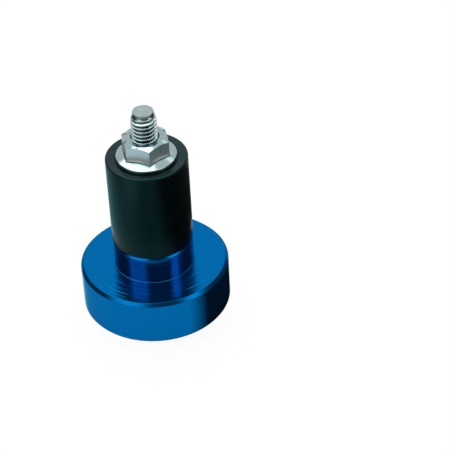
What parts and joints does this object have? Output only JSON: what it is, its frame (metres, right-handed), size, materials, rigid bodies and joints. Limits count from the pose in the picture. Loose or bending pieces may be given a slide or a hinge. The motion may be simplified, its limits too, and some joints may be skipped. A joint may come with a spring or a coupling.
{
  "type": "bar end weight",
  "caption": "Round anodised handlebar end weight with a coned front, and a rubber bush that its countersunk screw and flange nut squeeze to grip inside the bar.",
  "frame": {"origin": "centre of the flat ring on the front face, on the surface that the part stands on", "axes": "+Z along the screw, from the front face to the threaded end, which is the way into the bar"},
  "size_m": [0.035, 0.035, 0.0566],
  "materials": {
    "blue_anodised": "turned, bright anodised blue",
    "black_rubber": "moulded, satin black",
    "zinc_screw": "zinc plated, bright thread and dull olive head",
    "zinc_nut": "bright zinc plated"
  },
  "bodies": {
    "weight": {"end_weight": "blue_anodised", "expander_bush": "black_rubber"},
    "screw": {"socket_screw": "zinc_screw"},
    "nut": {"flange_nut": "zinc_nut"}
  },
  "joints": [
    {"name": "screw_turn", "type": "hinge", "parent": "weight", "child": "screw", "pos_m": [0, 0, 0], "axis": [0, 0, 1], "range_deg": [0, 1440]},
    {"name": "nut_draw", "type": "slide", "parent": "weight", "child": "nut", "axis": [0, 0, -1], "range_m": [0, 0.004], "deforming": ["expander_bush"]}
  ],
  "couplings": [
    {"joint": "nut_draw", "follows": "screw_turn", "m_per_rad": 0.00015915}
  ]
}
